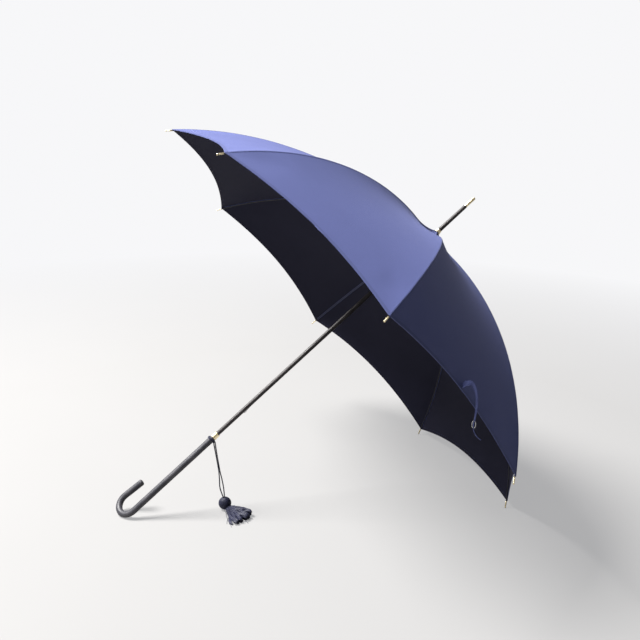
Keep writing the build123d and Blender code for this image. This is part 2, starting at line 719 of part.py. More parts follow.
with BuildPart() as tassel_cord:
    loop_plane = Plane(origin=CORD_TOP, x_dir=(0, 1, 0), z_dir=CORD_DIRECTION.cross(Vector(0, 1, 0)))
    with BuildLine(loop_plane) as loop:
        down = Line((CORD_SPREAD, -CORD_LENGTH), (CORD_SPREAD, 0))
        over = ThreePointArc(down @ 1, (0, CORD_SPREAD), (-CORD_SPREAD, 0))
        Line(over @ 1, (-CORD_SPREAD, -CORD_LENGTH))
    with BuildSketch(Plane(origin=loop.line @ 0, z_dir=loop.line % 0)):
        Circle(CORD_RADIUS)
    sweep(path=loop.line)
save(tassel_cord.part, "tassel_cord")

with BuildPart() as tassel_ball:
    with Locations(BALL_CENTRE):
        Sphere(BALL_RADIUS)
save(tassel_ball.part, "tassel_ball")

SKIRT_ALONG = Vector(cos(radians(SKIRT_DIRECTION)), sin(radians(SKIRT_DIRECTION)), 0)
with BuildPart() as tassel_skirt:
    neck_point = BALL_CENTRE + SKIRT_ALONG * (BALL_RADIUS + SKIRT_BALL_GAP)
    neck_point = Vector(neck_point.X, neck_point.Y, SKIRT_NECK + SKIRT_NECK_RISE)
    end_point = neck_point + SKIRT_ALONG * SKIRT_LENGTH
    end_point = Vector(end_point.X, end_point.Y, SKIRT_END_HALF_HEIGHT + BALL_FLOOR_GAP)
    with BuildSketch(Plane(origin=neck_point, x_dir=(0, 0, 1), z_dir=SKIRT_ALONG)):
        Ellipse(SKIRT_NECK, SKIRT_NECK)
    with BuildSketch(Plane(origin=end_point, x_dir=(0, 0, 1), z_dir=SKIRT_ALONG)):
        Ellipse(SKIRT_END_HALF_HEIGHT, SKIRT_END_HALF_WIDTH)
    loft()
save(tassel_skirt.part, "tassel_skirt")


# ---- closing strap ----

HEM_RADIUS, HEM_HEIGHT = rib_point(COVER_ARC * (1 - HEM_SCALLOP), COVER_LIFT)
HEM_MIDDLE = radial_plane(STRAP_PANEL_ANGLE).from_local_coords(
    Vector(HEM_RADIUS * cos(HALF_PANEL), HEM_HEIGHT)
)
STRAP_TOP = Vector(HEM_MIDDLE.X, HEM_MIDDLE.Y - STRAP_STAND_OFF, HEM_MIDDLE.Z)

with BuildPart() as closure_strap:
    with BuildSketch(Plane(origin=STRAP_TOP, x_dir=(1, 0, 0), z_dir=(0, -1, 0))):
        Rectangle(STRAP_WIDTH, STRAP_LENGTH, align=(Align.CENTER, Align.MAX))
    extrude(amount=STRAP_THICKNESS)
    fillet(closure_strap.edges().filter_by(Axis.Y), STRAP_WIDTH / 3)
save(closure_strap.part, "closure_strap")

with BuildPart() as strap_ring:
    ring_drop = STRAP_LENGTH + STRAP_RING_GAP + STRAP_RING_WIRE + STRAP_RING_RADIUS
    ring_centre = STRAP_TOP - Vector(0, 0, ring_drop)
    with BuildSketch(Plane(origin=ring_centre, x_dir=(1, 0, 0), z_dir=(0, -1, 0))):
        with Locations((STRAP_RING_RADIUS, 0)):
            Circle(STRAP_RING_WIRE)
    revolve(axis=Axis(ring_centre, (0, 0, 1)))
save(strap_ring.part, "strap_ring")
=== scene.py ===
import json
import math
import random

import bpy
from mathutils import Matrix, Vector, noise


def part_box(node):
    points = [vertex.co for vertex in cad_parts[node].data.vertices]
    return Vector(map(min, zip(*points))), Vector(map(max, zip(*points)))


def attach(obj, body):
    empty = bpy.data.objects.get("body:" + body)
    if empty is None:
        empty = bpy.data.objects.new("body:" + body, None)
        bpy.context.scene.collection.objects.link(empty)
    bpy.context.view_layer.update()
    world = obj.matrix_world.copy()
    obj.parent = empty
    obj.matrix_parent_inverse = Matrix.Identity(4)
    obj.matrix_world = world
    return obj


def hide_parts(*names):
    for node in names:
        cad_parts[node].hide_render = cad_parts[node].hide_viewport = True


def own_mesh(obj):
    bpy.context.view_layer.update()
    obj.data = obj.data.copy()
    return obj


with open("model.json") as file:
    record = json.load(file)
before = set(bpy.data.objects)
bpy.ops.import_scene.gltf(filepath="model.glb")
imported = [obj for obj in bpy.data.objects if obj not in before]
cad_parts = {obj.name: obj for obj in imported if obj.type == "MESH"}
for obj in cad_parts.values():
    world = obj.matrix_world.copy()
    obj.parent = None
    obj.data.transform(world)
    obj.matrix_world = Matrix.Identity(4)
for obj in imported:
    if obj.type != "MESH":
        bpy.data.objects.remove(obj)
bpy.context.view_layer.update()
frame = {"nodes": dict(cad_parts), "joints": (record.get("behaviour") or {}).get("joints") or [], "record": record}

# A stick umbrella with eight ribs. Lengths are in metres, and tables of places are in mm.
# The umbrella's own frame has its origin on the shaft's axis level with the rib hinges:
# UP runs up the shaft, OUT points at the side that faces the floor.

JOINTS = {joint["name"]: joint for joint in frame["joints"]}
RIBS = range(1, 9)
UP = -Vector(JOINTS["runner_slide"]["axis"]).normalized()
OUT = -Vector(JOINTS["top_catch_press"]["axis"]).normalized()
SIDE = UP.cross(OUT)
HINGES = [Vector(JOINTS[f"rib_{n}_hinge"]["pos_m"]) for n in RIBS]
ORIGIN = sum(HINGES, Vector()) / len(HINGES)
FIRST_ANGLE = 22.5  # of rib 1 about the shaft, in degrees
PITCH = 45.0  # from one rib to the next, in degrees
MM = 0.001

# ---- driving dimensions of the rib's curve and the cover ----
HINGE_RADIUS = (HINGES[0] - ORIGIN).length
RIB_ARC = 0.550
HINGE_SLOPE = 1.7  # degrees below level at the hinge
CORNER_SLOPE = 50.5  # and at the cover's corner
RIB_RADIUS = RIB_ARC / math.radians(CORNER_SLOPE - HINGE_SLOPE)
RIVET_SHARE = 0.234 / RIB_ARC  # where the inner rib meets the rod, as a share of the rib's curve
CLOTH = 0.5 * MM
CLOTH_LIFT = 2.05 * MM  # from a rib's middle line to the middle of the cloth
SCALLOP = 0.047  # how far the hem curves in, as a share of the rib's curve
CROWN_RADIUS = 5.3 * MM  # the hole round the ferrule
CROWN_HEIGHT = 18.8 * MM
CROWN_FOOT = 70 * MM  # radius at which the cover lies on the ribs again
CROWN_POWER = 2.0
SAG = 8.5 * MM  # how far the middle of a gore is drawn in between its ribs


def rib_angle(number):
    """Angle of a rib about the shaft, in radians."""
    return math.radians(FIRST_ANGLE + PITCH * (number - 1))


def outward(angle):
    """The direction away from the shaft at an angle in radians."""
    return OUT * math.cos(angle) + SIDE * math.sin(angle)


def around(angle, radius, height):
    """A point of the umbrella's frame, from its angle in radians."""
    return ORIGIN + outward(angle) * radius + UP * height


def slope_at(arc):
    """The rib's slope in radians, at a distance along its curve."""
    return math.radians(HINGE_SLOPE) + arc / RIB_RADIUS


def rib_point(arc, lift=0.0):
    """Radius and height of a point over a rib's middle line."""
    slope = slope_at(arc)
    radius = HINGE_RADIUS + RIB_RADIUS * (math.sin(slope) - math.sin(slope_at(0)))
    height = RIB_RADIUS * (math.cos(slope) - math.cos(slope_at(0)))
    return radius + lift * math.sin(slope), height + lift * math.cos(slope)


def rib_axes(angle, arc):
    """Outwards along the rib, square to the cover, and across to the next rib."""
    slope = slope_at(arc)
    radial = outward(angle)
    along = radial * math.cos(slope) - UP * math.sin(slope)
    normal = radial * math.sin(slope) + UP * math.cos(slope)
    across = SIDE * math.cos(angle) - OUT * math.sin(angle)
    return along, normal, across


# ---- mesh helpers ----


def add_mesh(name, points, faces, body, material, slot, uvs=None, replaced=()):
    """A smooth mesh piece that rides on a body. Open edges are marked sharp."""
    mesh = bpy.data.meshes.new(name)
    mesh.from_pydata([tuple(p) for p in points], [], faces)
    mesh.update()
    mesh.polygons.foreach_set("use_smooth", [True] * len(mesh.polygons))
    if uvs is not None:
        layer = mesh.uv_layers.new(name="cloth")
        flat = [value for loop in mesh.loops for value in uvs[loop.vertex_index]]
        layer.data.foreach_set("uv", flat)
    uses = {}
    for polygon in mesh.polygons:
        for key in polygon.edge_keys:
            uses[key] = uses.get(key, 0) + 1
    for edge in mesh.edges:
        if uses.get(edge.key, 0) == 1:
            edge.use_edge_sharp = True
    mesh.materials.append(material)
    piece = bpy.data.objects.new(name, mesh)
    bpy.context.scene.collection.objects.link(piece)
    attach(piece, body)
    if replaced:
        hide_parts(*replaced)
    return piece


def grid_faces(rows, columns, closed=False, flipped=False):
    """Quads of a grid of points stored row by row; closed joins the last column to the first."""
    faces = []
    spans = columns if closed else columns - 1
    for row in range(rows - 1):
        for column in range(spans):
            a = row * columns + column
            b = row * columns + (column + 1) % columns
            face = (a, b, b + columns, a + columns)
            faces.append(face[::-1] if flipped else face)
    return faces


def thicken(piece, thickness, inner=None):
    """Gives a sheet its thickness; inner is the material of the side its faces turn away from."""
    solid = piece.modifiers.new("thickness", "SOLIDIFY")
    solid.thickness = thickness
    solid.offset = 0.0
    if inner is not None:
        piece.data.materials.append(inner)
        solid.material_offset = 1


def square_to(direction):
    """Two unit vectors square to a direction."""
    direction = direction.normalized()
    helper = Vector((0, 0, 1)) if abs(direction.z) < 0.9 else Vector((1, 0, 0))
    first = direction.cross(helper).normalized()
    return first, direction.cross(first).normalized()


def carried_frames(path):
    """Unit pairs square to a path that don't twist from one point to the next."""
    frames = []
    first = None
    for i in range(len(path)):
        ahead = (path[min(i + 1, len(path) - 1)] - path[max(i - 1, 0)]).normalized()
        if first is None:
            first, _ = square_to(ahead)
        first = (first - ahead * first.dot(ahead)).normalized()
        frames.append((first.copy(), ahead.cross(first)))
    return frames


def tube(path, radius, sides=10, bump=None):
    """Points and faces of a closed tube. radius is a number or a function of the share
    along the path; bump adds to it by share and angle."""
    points = []
    frames = carried_frames(path)
    last = len(path) - 1
    for i, point in enumerate(path):
        share = i / last
        size = radius(share) if callable(radius) else radius
        first, second = frames[i]
        for k in range(sides):
            angle = 2 * math.pi * k / sides
            reach = size + (bump(share, angle) if bump else 0.0)
            points.append(point + (first * math.cos(angle) + second * math.sin(angle)) * reach)
    faces = grid_faces(len(path), sides, closed=True)
    start = len(points)
    points.append(path[0].copy())
    points.append(path[-1].copy())
    for k in range(sides):
        following = (k + 1) % sides
        faces.append((start, following, k))
        faces.append((start + 1, last * sides + k, last * sides + following))
    return points, faces


def lathe(base, axis, profile, sides=32, bump=None):
    """Points and faces turned about an axis from (distance, radius) pairs, with closed ends."""
    axis = axis.normalized()
    first, second = square_to(axis)
    points = []
    for distance, radius in profile:
        for k in range(sides):
            angle = 2 * math.pi * k / sides
            reach = radius + (bump(distance, angle) if bump else 0.0)
            around_axis = first * math.cos(angle) + second * math.sin(angle)
            points.append(base + axis * distance + around_axis * reach)
    faces = grid_faces(len(profile), sides, closed=True)
    faces.append(tuple(reversed(range(sides))))
    faces.append(tuple(range((len(profile) - 1) * sides, len(profile) * sides)))
    return points, faces


def join_parts(parts):
    """One list of points and faces from several."""
    points, faces = [], []
    for part_points, part_faces in parts:
        start = len(points)
        points.extend(part_points)
        faces.extend(tuple(i + start for i in face) for face in part_faces)
    return points, faces


def oval(centre, first, second, steps, turn=2 * math.pi):
    """Points round an oval, or part of one, from its two half axes."""
    angles = [turn * i / steps for i in range(steps + 1)]
    return [centre + first * math.cos(angle) + second * math.sin(angle) for angle in angles]


def smooth_path(controls, count):
    """A Catmull-Rom curve through the control points."""
    padded = [controls[0] * 2 - controls[1], *controls, controls[-1] * 2 - controls[-2]]
    spans = len(controls) - 1
    path = []
    for i in range(count):
        place = i / (count - 1) * spans
        k = min(int(place), spans - 1)
        t = place - k
        a, b, c, d = padded[k : k + 4]
        path.append(
            (b * 2 + (c - a) * t + (a * 2 - b * 5 + c * 4 - d) * t**2 + (b * 3 - a - c * 3 + d) * t**3)
            / 2
        )
    return path


# ---- materials ----


def add_node(tree, kind, **values):
    node = tree.nodes.new(kind)
    for key, value in values.items():
        setattr(node, key, value)
    return node


class Nodes:
    """A small writer of material nodes."""

    def __init__(self, name):
        self.material = bpy.data.materials.new(name)
        self.material.use_nodes = True
        self.tree = self.material.node_tree
        self.tree.nodes.clear()
        self.output = self.add("ShaderNodeOutputMaterial")
        self.shader = self.add("ShaderNodeBsdfPrincipled")
        self.link(self.shader.outputs[0], self.output.inputs["Surface"])
        self.coordinates = self.add("ShaderNodeTexCoord")

    def add(self, kind, **values):
        return add_node(self.tree, kind, **values)

    def link(self, source, target):
        self.tree.links.new(source, target)

    def put(self, socket, value):
        """Sets an input from a number, a colour or another node's output."""
        if isinstance(value, bpy.types.NodeSocket):
            self.link(value, socket)
        else:
            socket.default_value = value

    def shade(self, **values):
        """Sets inputs of the shader by their names, or by shorter ones."""
        short = {
            "colour": "Base Color",
            "specular": "Specular IOR Level",
            "coat": "Coat Weight",
            "sheen": "Sheen Weight",
        }
        for key, value in values.items():
            self.put(self.shader.inputs[short.get(key, key.replace("_", " ").title())], value)

    def noise(self, scale, detail=3.0, source=None, stretch=None):
        vector = source or self.coordinates.outputs["Object"]
        if stretch:
            mapping = self.add("ShaderNodeMapping")
            mapping.inputs["Scale"].default_value = stretch
            self.link(vector, mapping.inputs["Vector"])
            vector = mapping.outputs[0]
        node = self.add("ShaderNodeTexNoise")
        node.inputs["Scale"].default_value = scale
        node.inputs["Detail"].default_value = detail
        self.link(vector, node.inputs["Vector"])
        return node.outputs["Fac"]

    def cell_edges(self, scale):
        node = self.add("ShaderNodeTexVoronoi", feature="DISTANCE_TO_EDGE")
        node.inputs["Scale"].default_value = scale
        self.link(self.coordinates.outputs["Object"], node.inputs["Vector"])
        return node.outputs["Distance"]

    def math(self, operation, first, second=0.0):
        node = self.add("ShaderNodeMath", operation=operation)
        self.put(node.inputs[0], first)
        self.put(node.inputs[1], second)
        return node.outputs[0]

    def fit(self, value, low, high, to_low, to_high):
        node = self.add("ShaderNodeMapRange")
        for socket, number in zip(node.inputs, (value, low, high, to_low, to_high)):
            self.put(socket, number)
        return node.outputs[0]

    def mix(self, share, first, second):
        node = self.add("ShaderNodeMix", data_type="RGBA")
        self.put(node.inputs["Factor"], share)
        self.put(node.inputs["A"], first)
        self.put(node.inputs["B"], second)
        return node.outputs["Result"]

    def bump(self, height, strength, distance):
        node = self.add("ShaderNodeBump")
        node.inputs["Strength"].default_value = strength
        node.inputs["Distance"].default_value = distance
        self.link(height, node.inputs["Height"])
        return node.outputs["Normal"]

    def along(self, direction):
        """Distance along a direction of the resting frame."""
        node = self.add("ShaderNodeVectorMath", operation="DOT_PRODUCT")
        self.link(self.coordinates.outputs["Object"], node.inputs[0])
        node.inputs[1].default_value = tuple(direction)
        return node.outputs["Value"]


def opaque(red, green, blue):
    return (red, green, blue, 1.0)


THREAD_PITCH = 0.42 * MM


def cover_material(name, dark, light, sheen, specular):
    """Tightly woven navy cloth with a faint bloom where light grazes it."""
    nodes = Nodes(name)
    uv = nodes.add("ShaderNodeSeparateXYZ")
    nodes.link(nodes.coordinates.outputs["UV"], uv.inputs[0])
    thread = 2 * math.pi / THREAD_PITCH
    warp = nodes.math("SINE", nodes.math("MULTIPLY", uv.outputs["X"], thread))
    weft = nodes.math("SINE", nodes.math("MULTIPLY", uv.outputs["Y"], thread))
    weave = nodes.math("MULTIPLY", warp, weft)
    uneven = nodes.noise(9.0, 4.0)
    streaks = nodes.noise(60.0, 3.0, nodes.coordinates.outputs["UV"], (8.0, 1.0, 1.0))
    tone = nodes.fit(uneven, 0.3, 0.7, -0.06, 0.06)
    tone = nodes.math("ADD", tone, nodes.fit(streaks, 0.2, 0.8, -0.05, 0.05))
    tone = nodes.math("ADD", tone, nodes.fit(weave, -1, 1, -0.1, 0.1))
    colour = nodes.mix(nodes.fit(tone, -0.2, 0.2, 0, 1), opaque(*dark), opaque(*light))
    normal = nodes.bump(weave, 0.35, 0.06 * MM)
    nodes.shade(
        colour=colour,
        roughness=nodes.fit(streaks, 0.2, 0.8, 0.56, 0.68),
        specular=specular,
        sheen=sheen,
        sheen_roughness=0.5,
        sheen_tint=opaque(0.44, 0.50, 1.0),
        normal=normal,
    )
    return nodes.material


def steel_material(name, colour, roughness, direction=None, metallic=1.0, coat=0.0, grain=0.12):
    """Steel with fine drawn lines along a direction and faint rubbed patches."""
    nodes = Nodes(name)
    if direction is None:
        lines = nodes.noise(900.0, 2.0)
    else:
        place = nodes.math("MULTIPLY", nodes.along(direction), 5200.0)
        lines = nodes.fit(nodes.math("SINE", place), -1, 1, 0, 1)
    patches = nodes.noise(70.0, 5.0)
    worn = tuple(min(1.0, c * 1.35 + 0.012) for c in colour[:3]) + (1.0,)
    nodes.shade(
        colour=nodes.mix(nodes.fit(patches, 0.45, 0.75, 0, 1), colour, worn),
        metallic=metallic,
        roughness=nodes.fit(patches, 0.3, 0.7, roughness * 0.8, roughness * 1.3),
        coat=coat,
        coat_roughness=0.12,
        normal=nodes.bump(lines, grain, 0.02 * MM),
    )
    return nodes.material


def brass_material():
    """Pale polished brass with light tarnish and rubbed high spots."""
    nodes = Nodes("pale_brass")
    tarnish = nodes.noise(180.0, 6.0)
    fine = nodes.noise(2400.0, 2.0)
    colour = nodes.mix(
        nodes.fit(tarnish, 0.42, 0.72, 0, 1), opaque(0.95, 0.84, 0.58), opaque(0.80, 0.66, 0.40)
    )
    nodes.shade(
        colour=colour,
        metallic=1.0,
        roughness=nodes.fit(tarnish, 0.3, 0.7, 0.26, 0.42),
        normal=nodes.bump(fine, 0.08, 0.02 * MM),
    )
    return nodes.material


def leather_material():
    """Dark grey-navy leather with a pebbled grain, paler where the hand rubs it."""
    nodes = Nodes("handle_leather_grain")
    cells = nodes.cell_edges(1500.0)
    pits = nodes.noise(2600.0, 3.0)
    rubbed = nodes.noise(42.0, 4.0)
    grain = nodes.math("ADD", nodes.fit(cells, 0.0, 0.25, 0, 1), nodes.math("MULTIPLY", pits, 0.35))
    colour = nodes.mix(
        nodes.fit(rubbed, 0.4, 0.75, 0, 1), opaque(0.030, 0.030, 0.040), opaque(0.072, 0.069, 0.080)
    )
    colour = nodes.mix(nodes.fit(cells, 0.0, 0.12, 0.45, 0.0), colour, opaque(0.008, 0.009, 0.013))
    nodes.shade(
        colour=colour,
        roughness=nodes.fit(rubbed, 0.35, 0.7, 0.52, 0.42),
        specular=0.45,
        normal=nodes.bump(grain, 0.28, 0.08 * MM),
    )
    return nodes.material


def thread_material():
    """Glossy navy rayon thread."""
    nodes = Nodes("tassel_silk")
    fibres = nodes.noise(1.0 / (0.35 * MM), 2.0)
    patches = nodes.noise(120.0, 3.0)
    nodes.shade(
        colour=nodes.mix(
            nodes.fit(patches, 0.35, 0.7, 0, 1), opaque(0.011, 0.012, 0.029), opaque(0.024, 0.026, 0.056)
        ),
        roughness=nodes.fit(fibres, 0.3, 0.7, 0.44, 0.62),
        specular=0.3,
        sheen=0.08,
        sheen_roughness=0.4,
        sheen_tint=opaque(0.5, 0.56, 0.9),
        normal=nodes.bump(fibres, 0.5, 0.12 * MM),
    )
    return nodes.material


def wood_material():
    """Plain brown wood, seen only where the handle is cut open."""
    nodes = Nodes("handle_core_wood")
    rings = nodes.math("SINE", nodes.math("MULTIPLY", nodes.noise(90.0, 4.0), 40.0))
    nodes.shade(
        colour=nodes.mix(nodes.fit(rings, -1, 1, 0, 1), opaque(0.33, 0.20, 0.10), opaque(0.20, 0.11, 0.05)),
        roughness=0.6,
        normal=nodes.bump(rings, 0.2, 0.1 * MM),
    )
    return nodes.material


COVER = cover_material("cover_cloth", (0.070, 0.083, 0.205), (0.098, 0.116, 0.286), 0.12, 0.18)
SEAM = cover_material("seam_cloth", (0.058, 0.069, 0.170), (0.080, 0.095, 0.232), 0.12, 0.18)
# painted shade: the side of the cover that faces in gets a much darker, greyer copy of the cover cloth, standing
# in for the shade inside the canopy
INNER_SHADE_CLOTH = cover_material("cover_inner_face", (0.014, 0.014, 0.026), (0.021, 0.021, 0.038), 0.0, 0.04)
SILK = thread_material()
LEATHER = leather_material()
BRASS = brass_material()
CHROME = steel_material("strap_chrome", opaque(0.72, 0.72, 0.74), 0.16)
SPRING = steel_material("spring_steel", opaque(0.52, 0.52, 0.53), 0.3, UP)
BLACK = steel_material("rib_black", opaque(0.014, 0.014, 0.017), 0.42, UP, metallic=0.4, coat=0.2)
SHAFT = steel_material("shaft_lacquer", opaque(0.018, 0.014, 0.015), 0.46, None, metallic=0.1, grain=0.02)
WOOD = wood_material()

# each CAD node carries the material of its slot
CAD_MATERIALS = {
    "dark_metal": SHAFT,
    "rib_steel": BLACK,
    "spring_steel": SPRING,
    "brass": BRASS,
    "handle_wood": WOOD,
    "handle_leather": LEATHER,
    "tassel_thread": SILK,
    "strap_metal": CHROME,
    "cover_fabric": COVER,
}
for subpart in frame["record"]["subparts"]:
    shown = frame["nodes"][subpart["node"]]
    shown.data.materials.clear()
    shown.data.materials.append(CAD_MATERIALS[subpart["material_slot"]])
    for polygon in shown.data.polygons:
        polygon.material_index = 0


# ---- cover ----
# The cover is one curved surface, cover_point. Each gore is two half gores, and each half is
# cut into strips along the rib. A strip rides on the rib or rod that it hangs from.

TIERS = (0.0, 0.032, 0.13, 0.27, RIVET_SHARE, 1.0)
# index of the last strip, the one that rides on the rod
LAST_TIER = len(TIERS) - 2
ROW_STEP = 4.5 * MM
HALF_COLUMNS = 15  # points from a rib to the middle of its gore


def cover_profile(arc):
    """Radius and height of the cloth's middle at a rib. Near the ferrule it rises like a tent."""
    radius, height = rib_point(arc, CLOTH_LIFT)
    _, lowest = rib_point(CROWN_RADIUS - HINGE_RADIUS, CLOTH_LIFT)
    share = min(1.0, max(0.0, (radius - CROWN_RADIUS) / (CROWN_FOOT - CROWN_RADIUS)))
    return radius, height + (CROWN_HEIGHT - lowest) * (1 - share) ** CROWN_POWER


def cloth_height(radius):
    """Height of the cloth at a rib, by its distance from the shaft's axis."""
    return cover_profile((radius - HINGE_RADIUS) / math.cos(slope_at(0)))[1]


def puckers(number, share, across):
    """Small swell of the cloth: tension lines beside the seams and a soft unevenness."""
    edge = min(across, 1 - across)
    window = math.sin(math.pi * across) ** 0.5 * min(1.0, share * 5) * (1 - 0.35 * share)
    soft = noise.noise(Vector((number * 7.3 + across * 2.2, share * 3.1, 1.7)))
    beside = math.exp(-edge / 0.035) * math.sin(share * RIB_ARC / 0.0125 + number)
    ripple = 0.16 * MM * beside * min(1.0, share * 6) * math.sin(math.pi * across) ** 0.2
    # short folds that run into the sewn corners
    near_corner = max(0.0, (share - 0.84) / 0.16)
    tuck = -1.0 * MM * math.sin(math.pi * near_corner) * math.sin(math.pi * min(1.0, edge / 0.16))
    return 0.9 * MM * window * soft + ripple + tuck


def cover_point(number, share, across, lift=0.0):
    """A point of the gore between rib number and the next one. across runs from 0 to 1."""
    drawn_in = 1 - SCALLOP * 4 * across * (1 - across)
    radius, height = cover_profile(share * RIB_ARC * drawn_in)
    angle = rib_angle(number)
    left = around(angle, radius, height)
    right = around(angle + math.radians(PITCH), radius, height)
    _, normal, _ = rib_axes(angle + math.radians(PITCH / 2), share * RIB_ARC)
    sag = SAG * math.sin(math.pi * max(0.0, share) ** 0.7) * 4 * across * (1 - across)
    return left.lerp(right, across) + normal * (puckers(number, share, across) + lift - sag)


def sink_top(piece):
    """Gives the tent-shaped top its own copy of its mesh."""
    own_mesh(piece)


def gather(piece, tier):
    """Gives a strip of a gore its own copy of its mesh; the first strip goes through sink_top."""
    if tier == 0:
        sink_top(piece)
        return
    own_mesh(piece)


def body_of_tier(rib, tier):
    """The last strip rides on the rod, the others on the inner rib."""
    kind = "rod" if tier == LAST_TIER else "rib"
    return f"{kind}_{(rib - 1) % len(RIBS) + 1}"


def share_of_radius(radius):
    """Share of the rib's curve for a point near the shaft, where the rib is almost level."""
    return (radius - HINGE_RADIUS) / RIB_ARC


def tier_rows(tier):
    """Shares of the rib's curve at which a strip has its rows of points."""
    start, end = TIERS[tier], TIERS[tier + 1]
    if tier == 0:
        inner = [share_of_radius(r * MM) for r in (5.7, 6.5, 8, 10, 12.5, 15, 17.5, 20)]
        rest = [inner[-1] + (end - inner[-1]) * i / 4 for i in range(1, 5)]
        return inner + rest
    count = max(3, round((end - start) * RIB_ARC / ROW_STEP))
    return [start + (end - start) * i / count for i in range(count + 1)]


def half_columns(on_left):
    """Shares across the gore from a rib to the middle, closer together beside the rib."""
    columns = [0.5 * (i / (HALF_COLUMNS - 1)) ** 1.6 for i in range(HALF_COLUMNS)]
    return columns if on_left else [1 - c for c in reversed(columns)]


def make_half_gore(number, on_left):
    """The strips of half a gore."""
    rib = number if on_left else number + 1
    columns = half_columns(on_left)
    for tier in range(len(TIERS) - 1):
        rows = tier_rows(tier)
        points, uvs = [], []
        for share in rows:
            for across in columns:
                points.append(cover_point(number, share, across))
                radius, _ = rib_point(share * RIB_ARC)
                uvs.append(((across - 0.5) * radius * 2 * math.sin(math.radians(PITCH / 2)), share * RIB_ARC))
        side = "left" if on_left else "right"
        piece = add_mesh(
            f"cover_{number}_{side}_{tier + 1}",
            points,
            grid_faces(len(rows), len(columns), flipped=True),
            body_of_tier(rib, tier),
            COVER,
            "cover_fabric",
            uvs,
            (f"cover_panel_{number}",),
        )
        thicken(piece, CLOTH, INNER_SHADE_CLOTH)
        gather(piece, tier)


GORE_WIDTH = 0.36  # along the hem, roughly


def make_hem(number, on_left):
    """The narrow folded hem along the scalloped edge."""
    rib = number if on_left else number + 1
    columns = half_columns(on_left)
    width = 6 * MM / RIB_ARC
    # (share of the hem's width from the edge, swell)
    section = ((1.0, 0.0), (0.8, 0.15), (0.5, 0.12), (0.22, 0.16), (0.0, 0.05), (-0.05, 0.0))
    points, uvs = [], []
    for back, _ in section:
        share = 1 - width * back
        for across in columns:
            points.append(cover_point(number, share, across))
            uvs.append((across * GORE_WIDTH, share * RIB_ARC))
    side = "left" if on_left else "right"
    piece = add_mesh(
        f"hem_{number}_{side}",
        points,
        grid_faces(len(section), len(columns), flipped=True),
        body_of_tier(rib, LAST_TIER),
        SEAM,
        "cover_fabric",
        uvs,
    )
    thicken(piece, 1.1 * MM, INNER_SHADE_CLOTH)
    gather(piece, LAST_TIER)


SEAM_HALF_WIDTH = 2.6 * MM
SEAM_END = 0.998  # share of the rib's curve, just short of the hem's fold


def make_seam(rib):
    """The felled seam that runs along a rib, cut below the top and where the rib bends."""
    before = (rib - 2) % len(RIBS) + 1
    # share of the half width and swell in mm; the thread pulls the middle in
    section = ((-1.0, 0.0), (-0.75, 0.1), (-0.35, 0.08), (0.0, -0.12), (0.35, 0.08), (0.75, 0.1), (1.0, 0.0))
    for name, body, start, end in (
        ("top", f"rib_{rib}", 0.0, TIERS[1]),
        ("inner", f"rib_{rib}", TIERS[1], RIVET_SHARE),
        ("outer", f"rod_{rib}", RIVET_SHARE, SEAM_END),
    ):
        count = round((end - start) * RIB_ARC / ROW_STEP)
        points, uvs = [], []
        for i in range(count + 1):
            share = start + (end - start) * i / count
            radius, _ = rib_point(share * RIB_ARC)
            chord = 2 * radius * math.sin(math.radians(PITCH / 2))
            for place, swell in section:
                reach = abs(place) * SEAM_HALF_WIDTH / chord
                gore, across = (rib, reach) if place >= 0 else (before, 1 - reach)
                points.append(cover_point(gore, share, across, swell * MM))
                uvs.append((place * SEAM_HALF_WIDTH, share * RIB_ARC))
        piece = add_mesh(
            f"seam_{rib}_{name}",
            points,
            grid_faces(count + 1, len(section)),
            body,
            SEAM,
            "cover_fabric",
            uvs,
        )
        thicken(piece, 0.9 * MM)
        if name == "top":
            sink_top(piece)


BELL_INSET = 0.75  # the bell keeps inside the gores by this much, in mm
BELL_DROP = 0.55 * MM  # and this much under them


def make_bell():
    """The gathered top under the gores, which rides on the root."""
    radii = (5.4, 6.5, 8.0, 10.0, 12.5, 15.0, 17.5, 19.0, 20.0)
    heights = [cloth_height((radius + BELL_INSET) * MM) - BELL_DROP for radius in radii]
    # the turned-down rim
    radii += (20.3, 20.4, 20.4)
    heights += [heights[-1] - 1.2 * MM, heights[-1] - 4.0 * MM, 3.4 * MM]
    steps = 6
    points, uvs = [], []
    for radius, height in zip(radii, heights):
        for rib in RIBS:
            for i in range(steps):
                near = around(rib_angle(rib), radius * MM, height)
                far = around(rib_angle(rib + 1), radius * MM, height)
                points.append(near.lerp(far, i / steps))
                uvs.append(((points[-1] - ORIGIN).dot(OUT), (points[-1] - ORIGIN).dot(SIDE)))
    faces = grid_faces(len(radii), steps * len(RIBS), closed=True)
    bell = add_mesh("cover_bell", points, faces, "root", SEAM, "cover_fabric", uvs)
    thicken(bell, CLOTH)


for gore in RIBS:
    for left_side in (True, False):
        make_half_gore(gore, left_side)
        make_hem(gore, left_side)
    make_seam(gore)
make_bell()


# ---- rib tips ----
# (distance from the cover's corner, radius): a sleeve, a waist and a bead
TIP_PROFILE = (
    (0.0, 1.15), (0.3, 1.45), (6.6, 1.45), (7.0, 1.30), (7.4, 1.45), (8.6, 1.42), (9.4, 1.12), (10.2, 0.98),
    (10.9, 1.12), (11.4, 1.42), (12.2, 1.58), (12.9, 1.52), (13.5, 1.18), (13.85, 0.7), (14.0, 0.25),
)
for rib in RIBS:
    seat = around(rib_angle(rib), *rib_point(RIB_ARC))
    ahead = around(rib_angle(rib), *rib_point(RIB_ARC + 11 * MM))
    profile = [(distance * MM, radius * MM) for distance, radius in TIP_PROFILE]
    tip_points, tip_faces = lathe(seat, ahead - seat, profile, 24)
    add_mesh(f"tip_{rib}", tip_points, tip_faces, f"rod_{rib}", BRASS, "brass", None, (f"rib_tip_{rib}",))


